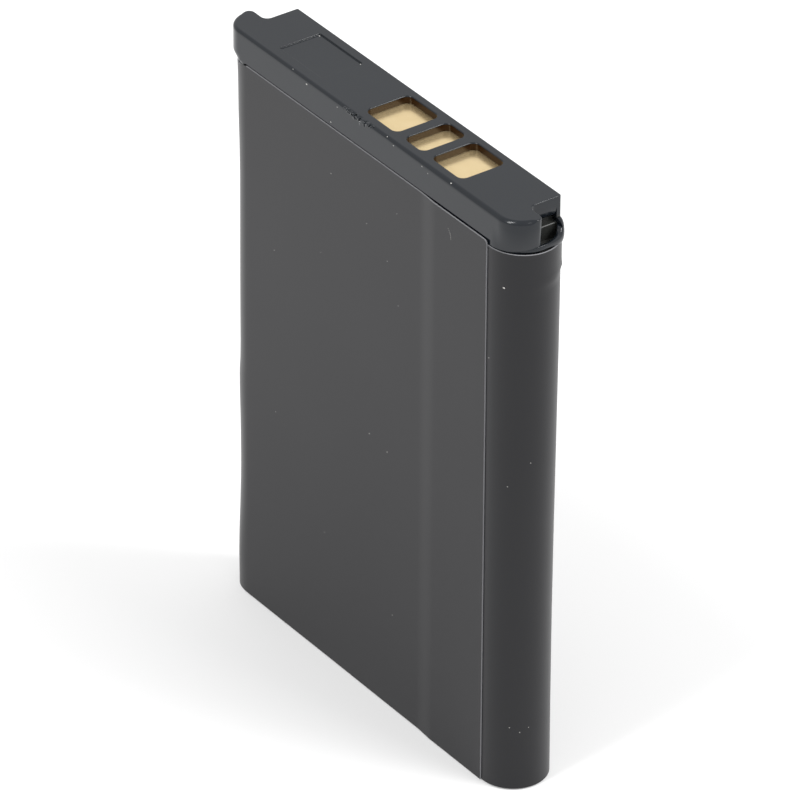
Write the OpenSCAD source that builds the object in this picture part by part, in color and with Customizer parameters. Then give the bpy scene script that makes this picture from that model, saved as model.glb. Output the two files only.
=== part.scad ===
// Flat rechargeable battery pack for a mobile phone.
// A sealed aluminium cell stands on a thin bottom cover. A moulded top frame
// holds the protection board, whose gold contacts lie in three windows.
// One plastic sheet is wound once round the cell and glued over its own start.
// X runs along the width, Y through the thickness (front is -Y), Z up.

/* [Cell] */
// Width of the aluminium can
cell_width = 33.2; // [32.6:0.1:44]
// Thickness of the can
cell_thickness = 4.9; // [4.7:0.05:7]
// Height of the can
cell_height = 40.3; // [30:0.1:60]

/* [Bottom] */
// Thickness of the bottom cover
bottom_cover_thickness = 0.5; // [0.3:0.05:1]
// Thickness of the adhesive tapes
tape_thickness = 0.1; // [0.05:0.01:0.2]

/* [Wrapped sheet] */
// Thickness of the sheet
sheet_thickness = 0.1; // [0.06:0.01:0.16]
// Slack between the sheet and what it is wound on
sheet_slack = 0.02; // [0.01:0.01:0.06]
// Distance of the sheet's glued outer edge from the can's side
seam_inset = 2.6; // [2.5:0.1:6]
// Width of the sheet's double layer, left of the seam
sheet_overlap = 6.7; // [3:0.1:10]
// Length of the slope where the outer layer climbs onto the inner one
overlap_ramp = 0.5; // [0.2:0.1:1]
// Height of the sheet's front panel above the can's lid
sheet_rise_front = 2.85; // [1.5:0.05:2.85]
// Height of the sheet above the lid round the ends and the back
sheet_rise_back = 2.35; // [1.5:0.05:2.4]
// Gap between the sheet's lower edge and the pack's base
sheet_lift = 0.1; // [0.05:0.05:0.3]

/* [Top frame] */
// Height of the top frame
frame_height = 5.0; // [4.8:0.1:8]
// Thickness of the frame's roof over the board
roof_thickness = 0.6; // [0.5:0.05:0.9]
// How far the frame's head stands proud of its skirt, front and back
head_proud = 0.1; // [0.05:0.01:0.14]
// Gap between the frame's head and the sheet's front edge
head_gap = 0.05; // [0.02:0.01:0.1]
// How far the front lobes reach past the can's sides
lobe_overhang = 0.4; // [0.2:0.05:0.6]
// Depth of the frame's two side notches behind the lobes
notch_depth = 1.75; // [1.5:0.05:2.1]
// Distance of the notches' front wall from the middle plane
notch_front = 0.1; // [0.05:0.05:0.6]
// Radius of the frame's two front corners
corner_radius = 1.9; // [1.2:0.1:1.9]
// Radius of the frame's two back corners
back_corner_radius = 0.15; // [0.05:0.05:0.4]
// Radius in the inner corner of the notches
notch_radius = 0.5; // [0.2:0.1:0.8]
// Radius along the top edge of the front
edge_radius = 0.4; // [0.2:0.05:0.45]
// How far the relief for the sheet's front panel reaches past the flat front
relief_margin = 0.25; // [0.1:0.05:0.5]

// Thickness of the skirt's front and back walls
pocket_wall = 0.35; // [0.3:0.01:0.4]
// Thickness of the wall between the end slot and the space for the board
pocket_end_wall = 0.85; // [0.6:0.05:1.2]
// How far the board lies behind the can's middle plane
pocket_shift = 0.07; // [0.03:0.01:0.1]

/* [Side loops] */
// How far the loops stand proud of the can's rounded sides
loop_proud = 0.5; // [0.35:0.05:0.7]
// Thickness of the loops' wall
loop_wall = 0.5; // [0.3:0.05:0.6]
// Height of the loops
loop_height = 1.75; // [1.2:0.05:2]
// Distance of the loops' top from the pack's top
loop_drop = 1.65; // [1.4:0.05:2]
// Roundness of the loops' outer face
loop_bulge = 0.3; // [0.1:0.05:0.4]
// How far the end wall's ledge lies below the loop's top
ledge_drop = 0.32; // [0.2:0.02:0.5]
// Depth of the pocket inside each loop
loop_pocket = 1.1; // [0.6:0.1:1.2]
// Height of the slot in the frame's end wall above each loop's ledge
latch_slot_height = 0.5; // [0.4:0.05:0.9]
// Depth of that slot
latch_slot_depth = 0.5; // [0.2:0.05:0.6]

/* [Windows] */
// Centre of the left window
window_a_x = 0.53; // [0.2:0.05:1]
// Width of the left window
window_a_width = 3.75; // [3:0.05:4]
// Centre of the middle window
window_b_x = 4.31; // [4.2:0.01:4.4]
// Width of the middle window
window_b_width = 2.34; // [1.5:0.02:2.5]
// Centre of the right window
window_c_x = 8.07; // [8:0.01:8.4]
// Width of the right window
window_c_width = 3.66; // [3:0.02:3.8]
// Size of the windows through the pack's thickness
window_depth = 3.84; // [3:0.02:3.86]
// How far the windows' middle lies behind the board's
window_shift = 0.06; // [0.03:0.01:0.08]
// Radius of the windows' corners
window_radius = 0.5; // [0.2:0.05:0.8]
// Centre of the blank recess left of the windows
recess_x = -9.0; // [-9.6:0.1:-6]
// Width of the blank recess
recess_width = 5.15; // [3:0.05:6]
// Size of the blank recess through the thickness
recess_depth = 3.5; // [2:0.1:3.8]
// How deep the blank recess is sunk into the roof
recess_sink = 0.15; // [0.1:0.05:0.35]

/* [Circuit board] */
// Thickness of the board
board_thickness = 0.8; // [0.6:0.1:1]
// Clearance between the board and the frame, all round
board_clearance = 0.05; // [0.03:0.01:0.1]
// Thickness of the gold contact plates
contact_thickness = 0.1; // [0.05:0.01:0.15]
// How far each contact plate reaches past its window
contact_margin = 0.12; // [0.05:0.01:0.14]
// Thickness of the board's weld pads
weld_pad_thickness = 0.15; // [0.1:0.05:0.2]
// Width of the weld pads along the board
weld_pad_width = 2.4; // [1.6:0.1:2.8]
// Thickness of the legs that carry the board
support_leg = 0.8; // [0.5:0.1:1.2]
// Width of the bracket's rails
support_rail = 0.3; // [0.2:0.05:0.4]
// Height of the bracket's rails
support_rail_height = 0.5; // [0.3:0.1:0.8]

/* [Chips] */
// Length of the protection chip
protection_length = 2.9; // [2.5:0.1:3]
// Width of the protection chip's body
protection_width = 1.6; // [1.2:0.1:1.8]
// Height of the protection chip's body
protection_height = 0.95; // [0.7:0.05:1.1]
// Centre of the protection chip
protection_x = -0.6; // [-0.9:0.1:-0.5]
// Length of the switching chip
switch_length = 3.0; // [2.6:0.1:3.2]
// Width of the switching chip's body
switch_width = 2.2; // [1.6:0.1:2.4]
// Height of the switching chip's body
switch_height = 0.8; // [0.6:0.05:1]
// Centre of the switching chip
switch_x = 4.4; // [4:0.1:4.8]
// Width of the chips' leads
lead_width = 0.4; // [0.3:0.05:0.45]
// Thickness of the chips' leads
lead_thickness = 0.15; // [0.1:0.01:0.2]
// How far the leads reach out of the chips
lead_reach = 0.5; // [0.4:0.05:0.55]
// Gap between a chip's body and the board
chip_standoff = 0.1; // [0.05:0.05:0.2]
// Length of the small chip parts
chip_part_length = 1.0; // [0.6:0.1:1.2]
// Width of the small chip parts
chip_part_width = 0.5; // [0.3:0.05:0.6]
// Height of the resistors
resistor_height = 0.35; // [0.25:0.05:0.5]
// Height of the capacitors
capacitor_height = 0.5; // [0.3:0.05:0.7]
// Distance of the small chip parts from the board's middle line
chip_part_y = 0.8; // [0.6:0.05:1]
// Length of the identity resistor, across the board
identity_length = 1.6; // [1:0.1:2]
// Width of the identity resistor
identity_width = 0.8; // [0.5:0.05:0.8]
// Height of the identity resistor
identity_height = 0.45; // [0.3:0.05:0.6]

/* [Nickel strips] */
// Thickness of the nickel strips
strip_thickness = 0.12; // [0.08:0.01:0.2]
// Width of the nickel strips
strip_width = 2.2; // [1.4:0.1:2.6]
// Gap between the positive strip's upright leg and the board's bracket
positive_leg_gap = 2.45; // [2:0.05:2.6]
// Gap between the negative strip's upright leg and the board's bracket
negative_leg_gap = 1.45; // [1.2:0.05:1.6]
// Length of the positive strip's foot on the lid
positive_foot = 3.2; // [2:0.1:3.6]

/* [Lid] */
// Thickness of the insulating paper on the lid
paper_thickness = 0.1; // [0.05:0.01:0.2]
// Length of the plastic gasket under the negative terminal
gasket_length = 4.8; // [3.4:0.1:5.4]
// Width of the gasket
gasket_width = 2.6; // [2.4:0.1:3]
// Thickness of the gasket
gasket_thickness = 0.3; // [0.2:0.05:0.5]
// Diameter of the negative terminal's rivet head
rivet_diameter = 2.2; // [1.6:0.1:2.4]
// Height of the rivet head
rivet_height = 0.3; // [0.2:0.05:0.5]
// Diameter of the plug in the filling hole
plug_diameter = 1.2; // [0.8:0.1:1.6]
// Distance of the plug from the middle
plug_x = 4.6; // [4.4:0.1:5.2]
// Height of the plug over the lid
plug_height = 0.15; // [0.05:0.05:0.3]
// Length of the thermal fuse's body
fuse_length = 4.5; // [3.6:0.1:5]
// Width of the thermal fuse's body
fuse_width = 2.6; // [2:0.1:2.8]
// Height of the thermal fuse's body
fuse_height = 1.0; // [0.9:0.05:1.2]
// Distance of the thermal fuse's near end from the middle
fuse_x = 3.4; // [3:0.1:3.8]

/* [Hidden] */

$fn = 96;
// Overshoot of a cut past the surface that it opens
cut = 1;

// Middle plane of the can, set back so that the double layer in front
// leaves the whole pack centred on Y = 0
cell_y = sheet_thickness / 2;
cell_end = cell_width / 2;
round_x = (cell_width - cell_thickness) / 2;
cell_front = cell_y - cell_thickness / 2;
cell_back = cell_y + cell_thickness / 2;
cell_bottom = bottom_cover_thickness + tape_thickness;
lid = cell_bottom + cell_height;

// Top frame
frame_bottom = lid + tape_thickness;
frame_top = frame_bottom + frame_height;
roof_bottom = frame_top - roof_thickness;
head_bottom = lid + sheet_rise_back + head_gap;
relief_top = lid + sheet_rise_front + head_gap;
head_front = cell_front - head_proud;
head_back = cell_back + head_proud;
lobe_end = cell_end + lobe_overhang;
notch_x = lobe_end - notch_depth;
loop_top = frame_top - loop_drop;
loop_outer = cell_thickness / 2 + loop_proud;
ledge_z = loop_top - ledge_drop;

// Space in the frame for the board, open downwards
pocket_y = cell_y + pocket_shift;
pocket_width = cell_thickness - 2 * pocket_wall;
pocket_length = 2 * (notch_x - latch_slot_depth - pocket_end_wall);

// Board and contacts
board_length = pocket_length - 2 * board_clearance;
board_width = pocket_width - 2 * board_clearance;
board_top = roof_bottom - contact_thickness;
board_bottom = board_top - board_thickness;
weld_pad_bottom = board_bottom - weld_pad_thickness;
window_y = pocket_y + window_shift;

// Bracket that carries the board
support_length = pocket_length - 2 * board_clearance;
support_width = pocket_width - 2 * board_clearance;
support_bottom = lid + paper_thickness;
support_inside = support_length / 2 - support_leg;

// Strips, from the rivet's top and the lid up to the weld pads
rivet_top = lid + gasket_thickness + rivet_height;
strip_top = weld_pad_bottom;
positive_leg_x = support_inside - positive_leg_gap;
negative_leg_x = support_inside - negative_leg_gap;

// Columns of small chip parts between the protection chip and a weld pad
chip_columns = 3;
chip_column_start = protection_length / 2 - protection_x;
chip_column_pitch = (positive_leg_x - weld_pad_width - chip_column_start) / chip_columns;
function chip_column(i) = -chip_column_start - (i + 0.5) * chip_column_pitch;

// Full-round bar outline, centred
module bar_outline(length, width) {
    square([length - width, width], center = true);
    for (side = [-1, 1])
        translate([side * (length - width) / 2, 0])
            circle(d = width);
}

// Rectangle with round corners, centred
module rounded_outline(length, width, radius) {
    square([length - 2 * radius, width], center = true);
    square([length, width - 2 * radius], center = true);
    for (x = [-1, 1], y = [-1, 1])
        translate([x * (length / 2 - radius), y * (width / 2 - radius)])
            circle(radius);
}

// Plate between two heights over a box centred on x, y
module plate(x, y, length, width, z_low, z_high) {
    translate([x - length / 2, y - width / 2, z_low])
        cube([length, width, z_high - z_low]);
}

// Outline of the can, grown by a margin
module can_outline(margin = 0) {
    translate([0, cell_y])
        bar_outline(cell_width + 2 * margin, cell_thickness + 2 * margin);
}

// Bottom cover: flat moulded plate under the can
module bottom_cover() {
    color("#2b2c2e")
        linear_extrude(bottom_cover_thickness)
            can_outline();
}

// Double-sided tape between the bottom cover and the can
module bottom_tape() {
    tape_margin = 0.6;
    color("#d9d4c3")
        translate([0, 0, bottom_cover_thickness])
            linear_extrude(tape_thickness)
                can_outline(-tape_margin);
}

// Sealed cell: drawn aluminium can with its lid welded on
module battery_cell() {
    color("#c4c7ca")
        translate([0, 0, cell_bottom])
            linear_extrude(cell_height)
                can_outline();
}

// Plastic gasket that insulates the negative terminal from the lid
module terminal_gasket() {
    gasket_radius = 0.6;
    color("#e8e4d8")
        translate([0, cell_y, lid])
            linear_extrude(gasket_thickness)
                rounded_outline(gasket_length, gasket_width, gasket_radius);
}

// Nickel-plated rivet head of the negative terminal
module negative_terminal() {
    color("#b9b6ad")
        translate([0, cell_y, lid + gasket_thickness])
            cylinder(d = rivet_diameter, h = rivet_height);
}

// Aluminium plug welded over the electrolyte filling hole
module fill_plug() {
    color("#aeb1b5")
        translate([-plug_x, cell_y, lid])
            cylinder(d = plug_diameter, h = plug_height);
}

// Insulating paper on the lid, cut out round gasket, plug and weld
module lid_insulator() {
    hole_clearance = 0.15;
    color("#d8c9a0")
        translate([0, 0, lid])
            linear_extrude(paper_thickness)
                difference() {
                    translate([0, pocket_y])
                        square([support_length, support_width], center = true);
                    translate([0, cell_y])
                        square([gasket_length + 2 * hole_clearance,
                                gasket_width + 2 * hole_clearance], center = true);
                    translate([-plug_x, cell_y])
                        circle(d = plug_diameter + 2 * hole_clearance);
                    translate([positive_foot / 2 - positive_leg_x, cell_y])
                        square([positive_foot + 2 * hole_clearance,
                                strip_width + 2 * hole_clearance], center = true);
                }
}

// Two double-sided tapes that hold the frame's ends to the lid
module end_tapes() {
    tape_margin = 0.3;
    tape_start = pocket_length / 2 + tape_margin;
    color("#d9d4c3")
        for (side = [-1, 1])
            translate([0, 0, lid])
                linear_extrude(tape_thickness)
                    intersection() {
                        can_outline(-tape_margin);
                        translate([side * (cell_end + tape_start) / 2, cell_y])
                            square([cell_end - tape_start, cell_thickness], center = true);
                    }
}

// Nickel strip from the negative terminal to the thermal fuse
module negative_tab() {
    tab_start = -rivet_diameter / 2;
    color("#c9c7c0")
        plate((tab_start + fuse_x) / 2, cell_y, fuse_x - tab_start, strip_width,
              rivet_top, rivet_top + strip_thickness);
}

// Thermal fuse: moulded block in line with the negative strip
module thermal_fuse() {
    color("#2f5d3a")
        plate(fuse_x + fuse_length / 2, cell_y, fuse_length, fuse_width,
              lid + paper_thickness, lid + paper_thickness + fuse_height);
}

// Upright strip: a leg with a foot at its lower and one at its upper end,
// both towards the middle of the pack
module upright_strip(leg_x, foot_start, foot_z) {
    pad_end = leg_x - weld_pad_width;
    plate((foot_start + leg_x) / 2, cell_y, leg_x - foot_start, strip_width,
          foot_z, foot_z + strip_thickness);
    plate(leg_x - strip_thickness / 2, cell_y, strip_thickness, strip_width,
          foot_z, strip_top);
    plate((pad_end + leg_x) / 2, cell_y, leg_x - pad_end, strip_width,
          strip_top - strip_thickness, strip_top);
}

// Nickel strip from the thermal fuse up to the board
module fuse_tab() {
    color("#c9c7c0")
        upright_strip(negative_leg_x, fuse_x + fuse_length, rivet_top);
}

// Nickel strip welded to the lid, which is the positive pole
module positive_tab() {
    color("#c9c7c0")
        mirror([1, 0, 0])
            upright_strip(positive_leg_x, positive_leg_x - positive_foot, lid);
}

// Moulded bracket on the lid that carries the board at its ends
module board_support() {
    color("#3a3b3d")
        translate([0, pocket_y, 0]) {
            difference() {
                plate(0, 0, support_length, support_width,
                      support_bottom, support_bottom + support_rail_height);
                plate(0, 0, 2 * support_inside,
                      support_width - 2 * support_rail,
                      support_bottom - cut, support_bottom + support_rail_height + cut);
            }
            for (side = [-1, 1])
                plate(side * (support_length - support_leg) / 2, 0,
                      support_leg, support_width, support_bottom, board_bottom);
        }
}

// Glass-fibre circuit board
module circuit_board() {
    color("#1f6b45")
        plate(0, pocket_y, board_length, board_width, board_bottom, board_top);
}

// Two nickel pads soldered under the board for the strips
module weld_pads() {
    color("#c9c7c0")
        for (leg_x = [-positive_leg_x, negative_leg_x])
            plate(leg_x - sign(leg_x) * weld_pad_width / 2, cell_y,
                  weld_pad_width, strip_width, weld_pad_bottom, board_bottom);
}

// Moulded chip hanging under the board on rows of bent leads
module leaded_chip(x, length, width, height, leads) {
    pitch = length / leads;
    body_top = board_bottom - chip_standoff;
    plate(x, pocket_y, length, width, body_top - height, body_top);
    for (i = [0 : leads - 1], side = [-1, 1]) {
        lead_x = x + (i - (leads - 1) / 2) * pitch;
        shoulder_y = pocket_y + side * (width + lead_reach) / 2;
        foot_y = pocket_y + side * (width / 2 + lead_reach - lead_thickness / 2);
        plate(lead_x, shoulder_y, lead_width, lead_reach,
              body_top - height / 2, body_top - height / 2 + lead_thickness);
        plate(lead_x, foot_y, lead_width, lead_thickness,
              body_top - height / 2, board_bottom);
    }
}

// Chip that watches the cell's voltage and current
module protection_chip() {
    color("#1d1e20")
        leaded_chip(protection_x, protection_length, protection_width,
                    protection_height, 3);
}

// Pair of switching transistors in one flat case
module switch_chip() {
    color("#1d1e20")
        leaded_chip(switch_x, switch_length, switch_width, switch_height, 4);
}

// Chip part with metal end caps, soldered flat under the board
module end_capped_chip(x, y, length, width, height, turn = 0) {
    cap = length / 5;
    cap_lip = 0.03;
    translate([x, y, 0])
        rotate([0, 0, turn]) {
            plate(0, 0, length - 2 * cap, width, board_bottom - height,
                  board_bottom - cap_lip);
            for (side = [-1, 1])
                plate(side * (length - cap) / 2, 0, cap, width + 2 * cap_lip,
                      board_bottom - height - cap_lip, board_bottom);
        }
}

// Resistor that tells the phone which battery is fitted
module identity_resistor() {
    color("#22252b")
        end_capped_chip((negative_leg_x + support_inside) / 2, pocket_y, identity_length,
                        identity_width, identity_height, 90);
}

// Ceramic capacitors beside the protection chip
module filter_capacitors() {
    color("#b08a5a")
        for (i = [0 : chip_columns - 2])
            end_capped_chip(chip_column(i), pocket_y + chip_part_y, chip_part_length,
                            chip_part_width, capacitor_height);
}

// Small resistors beside the protection chip
module chip_resistors() {
    color("#22252b")
        for (i = [0 : chip_columns - 1])
            end_capped_chip(chip_column(i), pocket_y - chip_part_y, chip_part_length,
                            chip_part_width, resistor_height);
}

// Gold-plated contact plate under one window
module contact(x, width) {
    contact_depth = min(window_depth + 2 * contact_margin, board_width);
    color("#e0c98c")
        plate(x, pocket_y, width + 2 * contact_margin, contact_depth,
              board_top, roof_bottom);
}

// Plan of the frame's head: wide front lobes, narrower back part
module head_plan() {
    corner_x = lobe_end - corner_radius;
    corner_y = head_front + corner_radius;
    step_y = -notch_front;
    translate([-corner_x, head_front])
        square([2 * corner_x, head_back - head_front]);
    translate([-lobe_end, corner_y])
        square([2 * lobe_end, step_y - corner_y]);
    translate([-notch_x, corner_y])
        square([2 * notch_x, head_back - back_corner_radius - corner_y]);
    translate([back_corner_radius - notch_x, corner_y])
        square([2 * (notch_x - back_corner_radius), head_back - corner_y]);
    for (side = [0, 1])
        mirror([side, 0]) {
            translate([corner_x, corner_y])
                circle(corner_radius);
            translate([notch_x - back_corner_radius, head_back - back_corner_radius])
                circle(back_corner_radius);
            translate([notch_x, step_y])
                difference() {
                    square(notch_radius);
                    translate([notch_radius, notch_radius])
                        circle(notch_radius);
                }
        }
}

// What a rounded edge takes off a square corner at the origin
module edge_profile(radius) {
    difference() {
        translate([-radius, -radius])
            square(radius + cut);
        translate([-radius, -radius])
            circle(radius);
    }
}

// Cutter that rounds the top edge along the front and its two corners
module front_edge_cutter() {
    corner_x = lobe_end - corner_radius;
    corner_y = head_front + corner_radius;
    translate([-corner_x, head_front, frame_top])
        rotate([90, 0, 90])
            linear_extrude(2 * corner_x)
                mirror([1, 0])
                    edge_profile(edge_radius);
    for (side = [0, 1])
        mirror([side, 0, 0])
            translate([corner_x, corner_y, frame_top])
                rotate([0, 0, -90])
                    rotate_extrude(angle = 90)
                        translate([corner_radius, 0])
                            edge_profile(edge_radius);
}

// Curved wall that follows the can's round side behind each lobe
module side_loop() {
    loop_mid = loop_top - loop_height / 2;
    flat_x = loop_outer - loop_bulge;
    lobe_angle = asin((notch_front + cell_y) / loop_outer);
    translate([round_x, cell_y, 0])
        rotate([0, 0, -lobe_angle - 2])
            rotate_extrude(angle = 92 + lobe_angle)
                polygon(concat([[loop_outer - loop_wall, loop_mid + loop_height / 2],
                                [loop_outer - loop_wall, loop_mid - loop_height / 2]],
                               [for (a = [-90 : 15 : 90])
                                    [flat_x + loop_bulge * cos(a),
                                     loop_mid + loop_height / 2 * sin(a)]]));
}

// Pocket between each loop and the frame's end wall, with the slot above it
module loop_pocket_cutter() {
    pocket_z = ledge_z - loop_pocket;
    pocket_radius = loop_outer - loop_wall;
    slot_front = notch_radius - notch_front;
    slot_back = cell_y + sqrt(pow(pocket_radius, 2) - pow(notch_x - round_x, 2));
    translate([0, 0, pocket_z])
        linear_extrude(frame_top)
            intersection() {
                translate([round_x, cell_y])
                    circle(pocket_radius);
                translate([notch_x, -notch_front])
                    square([cell_thickness, cell_thickness]);
            }
    translate([notch_x - latch_slot_depth, slot_front, ledge_z])
        cube([notch_depth, slot_back - slot_front, latch_slot_height]);
}

// Room behind the loops for the sheet, which tucks in under them
module sheet_space() {
    translate([0, 0, lid])
        linear_extrude(sheet_rise_back + head_gap)
            can_outline(sheet_slack + sheet_thickness + head_gap);
}

// Top frame: one moulding with skirt, head, lobes and side loops
module top_frame() {
    skirt_height = head_bottom - frame_bottom;
    color("#3c3e41")
        difference() {
            union() {
                translate([0, 0, frame_bottom])
                    linear_extrude(skirt_height + head_gap)
                        can_outline();
                translate([0, 0, head_bottom])
                    linear_extrude(frame_top - head_bottom)
                        head_plan();
                for (side = [0, 1])
                    mirror([side, 0, 0])
                        difference() {
                            intersection() {
                                side_loop();
                                translate([0, -cell_thickness, 0])
                                    cube([cell_width, head_back + cell_thickness,
                                          frame_top]);
                            }
                            sheet_space();
                        }
            }
            // relief for the sheet's front panel
            translate([-round_x - relief_margin, head_front - cut, head_bottom - cut])
                cube([2 * (round_x + relief_margin), cell_front - head_front + cut,
                      relief_top - head_bottom + cut]);
            // space for the board, the strips and the parts on the lid
            translate([-pocket_length / 2, pocket_y - pocket_width / 2, frame_bottom - cut])
                cube([pocket_length, pocket_width, roof_bottom - frame_bottom + cut]);
            // windows over the contacts
            for (window = [[window_a_x, window_a_width], [window_b_x, window_b_width],
                           [window_c_x, window_c_width]])
                translate([window[0], window_y, roof_bottom - cut])
                    linear_extrude(roof_thickness + 2 * cut)
                        rounded_outline(window[1], window_depth, window_radius);
            // blank recess
            plate(recess_x, window_y, recess_width, recess_depth,
                  frame_top - recess_sink, frame_top + cut);
            front_edge_cutter();
            for (side = [0, 1])
                mirror([side, 0, 0])
                    loop_pocket_cutter();
        }
}

// Sheet: one turn round the can, and its glued end over the front
module wrapped_sheet() {
    inner = sheet_slack;
    outer = sheet_slack + sheet_thickness;
    layer_y = cell_front - outer;
    seam_x = cell_end - seam_inset;
    ramp_x = seam_x - sheet_overlap;
    low_top = lid + sheet_rise_back;
    front_top = lid + sheet_rise_front;
    color("#333436") {
        translate([0, 0, sheet_lift])
            linear_extrude(low_top - sheet_lift)
                difference() {
                    can_outline(outer);
                    can_outline(inner);
                }
        translate([0, 0, sheet_lift])
            linear_extrude(front_top - sheet_lift)
                polygon([[-round_x, layer_y], [ramp_x - overlap_ramp, layer_y],
                         [ramp_x, layer_y - sheet_thickness],
                         [seam_x, layer_y - sheet_thickness], [seam_x, layer_y],
                         [ramp_x, layer_y], [ramp_x, layer_y + sheet_thickness],
                         [-round_x, layer_y + sheet_thickness]]);
    }
}

bottom_cover();
bottom_tape();
battery_cell();
terminal_gasket();
negative_terminal();
fill_plug();
lid_insulator();
end_tapes();
negative_tab();
thermal_fuse();
fuse_tab();
positive_tab();
board_support();
circuit_board();
weld_pads();
protection_chip();
switch_chip();
identity_resistor();
filter_capacitors();
chip_resistors();
contact(window_a_x, window_a_width);  // contact_positive
contact(window_b_x, window_b_width);  // contact_identity
contact(window_c_x, window_c_width);  // contact_negative
top_frame();
wrapped_sheet();
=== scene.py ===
"""Looks of a flat mobile phone battery, built up in the order in which the pack is put together."""
import math
import random

import bmesh
import bpy
import numpy as np
from mathutils import Matrix, Vector, noise


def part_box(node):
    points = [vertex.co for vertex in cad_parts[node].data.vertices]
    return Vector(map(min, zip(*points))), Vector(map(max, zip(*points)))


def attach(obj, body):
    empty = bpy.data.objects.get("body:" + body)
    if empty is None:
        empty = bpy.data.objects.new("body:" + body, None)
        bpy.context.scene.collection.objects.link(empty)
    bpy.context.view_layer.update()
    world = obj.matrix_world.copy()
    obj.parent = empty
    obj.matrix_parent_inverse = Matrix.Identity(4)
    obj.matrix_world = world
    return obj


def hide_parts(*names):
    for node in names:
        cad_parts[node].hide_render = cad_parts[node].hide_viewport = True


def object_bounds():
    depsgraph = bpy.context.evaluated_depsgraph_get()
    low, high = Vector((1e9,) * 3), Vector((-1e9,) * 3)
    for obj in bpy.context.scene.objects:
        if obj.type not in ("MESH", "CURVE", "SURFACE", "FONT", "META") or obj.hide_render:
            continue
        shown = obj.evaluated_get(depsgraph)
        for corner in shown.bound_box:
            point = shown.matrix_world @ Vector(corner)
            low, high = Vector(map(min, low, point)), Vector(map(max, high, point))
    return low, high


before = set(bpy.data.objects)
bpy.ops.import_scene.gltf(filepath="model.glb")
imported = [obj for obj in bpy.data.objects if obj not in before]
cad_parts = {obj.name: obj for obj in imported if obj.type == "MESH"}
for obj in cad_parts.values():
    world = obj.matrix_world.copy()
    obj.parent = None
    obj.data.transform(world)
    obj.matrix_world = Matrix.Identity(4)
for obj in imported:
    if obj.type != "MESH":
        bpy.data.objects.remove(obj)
cad_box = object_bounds()

# Bottom cover
# A thin plate injection moulded in black ABS, taped under the can. Its lower rim is
# rounded where the tool was broken, and two ejector pins left shallow round marks below.
MM = 0.001


def linear(hex_colour):
    """sRGB hex, such as "4c5054", as the linear colour that the shader wants."""
    channels = [int(hex_colour[i:i + 2], 16) / 255 for i in (0, 2, 4)]
    return [c / 12.92 if c <= 0.04045 else ((c + 0.055) / 1.055) ** 2.4 for c in channels] + [1.0]


def add_node(tree, kind, settings=None, inputs=None):
    """Adds a node: its settings are attributes, its inputs are values or the sockets to link."""
    node = tree.nodes.new(kind)
    for name, value in (settings or {}).items():
        setattr(node, name, value)
    for name, value in (inputs or {}).items():
        if isinstance(value, bpy.types.NodeSocket):
            tree.links.new(value, node.inputs[name])
        else:
            node.inputs[name].default_value = value
    return node


def start_finish(name, **sockets):
    """A material whose shader has the given constants, and the tree to add its pattern to."""
    finish = bpy.data.materials.new(name)
    finish.use_nodes = True
    tree = finish.node_tree
    shader = tree.nodes["Principled BSDF"]
    for socket, value in sockets.items():
        shader.inputs[socket.replace("_", " ")].default_value = value
    place = add_node(tree, "ShaderNodeTexCoord").outputs["Object"]
    return finish, tree, shader, place


def per_metre(size_mm):
    """Scale of a noise pattern whose blotches are about this many millimetres."""
    return 1 / (size_mm * MM)


BLACK_PLASTIC_SHINE = 0.37
CLOUD_MM = 6
GLOSS_SPREAD = 0.05


def moulded_plastic(name, dark, light, roughness, grain_mm, grain_depth_mm,
                    shine=BLACK_PLASTIC_SHINE):
    """Plastic from a spark-eroded tool: fine even grain, cloudy differences in tone and gloss."""
    finish, tree, shader, place = start_finish(name, IOR=1.5, Specular_IOR_Level=shine)
    cloud = add_node(tree, "ShaderNodeTexNoise", None,
                     {"Vector": place, "Scale": per_metre(CLOUD_MM), "Detail": 3.0})
    grain = add_node(tree, "ShaderNodeTexNoise", None,
                     {"Vector": place, "Scale": per_metre(grain_mm), "Detail": 2.0})
    tone = add_node(tree, "ShaderNodeMix", {"data_type": "RGBA"},
                    {"Factor": cloud.outputs["Fac"], "A": linear(dark), "B": linear(light)})
    gloss = add_node(tree, "ShaderNodeMapRange", None,
                     {"Value": cloud.outputs["Fac"], "To Min": roughness - GLOSS_SPREAD,
                      "To Max": roughness + GLOSS_SPREAD})
    relief = add_node(tree, "ShaderNodeBump", None,
                      {"Height": grain.outputs["Fac"], "Strength": 1.0,
                       "Distance": grain_depth_mm * MM})
    tree.links.new(tone.outputs["Result"], shader.inputs["Base Color"])
    tree.links.new(gloss.outputs["Result"], shader.inputs["Roughness"])
    tree.links.new(relief.outputs["Normal"], shader.inputs["Normal"])
    return finish


def build(name, points_mm, faces, finishes=()):
    """A piece from points in millimetres."""
    mesh = bpy.data.meshes.new(name)
    mesh.from_pydata([Vector(p) * MM for p in points_mm], [], faces)
    for finish in finishes:
        mesh.materials.append(finish)
    piece = bpy.data.objects.new(name, mesh)
    bpy.context.scene.collection.objects.link(piece)
    return piece


def soften(piece, sharp_deg=40):
    """Smooth shading that keeps flat faces flat and edges steeper than sharp_deg crisp."""
    shape = bmesh.new()
    shape.from_mesh(piece.data)
    for face in shape.faces:
        face.smooth = True
    for edge in shape.edges:
        edge.smooth = edge.is_manifold and edge.calc_face_angle() < math.radians(sharp_deg)
    shape.to_mesh(piece.data)
    shape.free()
    weights = piece.modifiers.new("flat faces stay flat", "WEIGHTED_NORMAL")
    weights.keep_sharp = True


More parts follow.
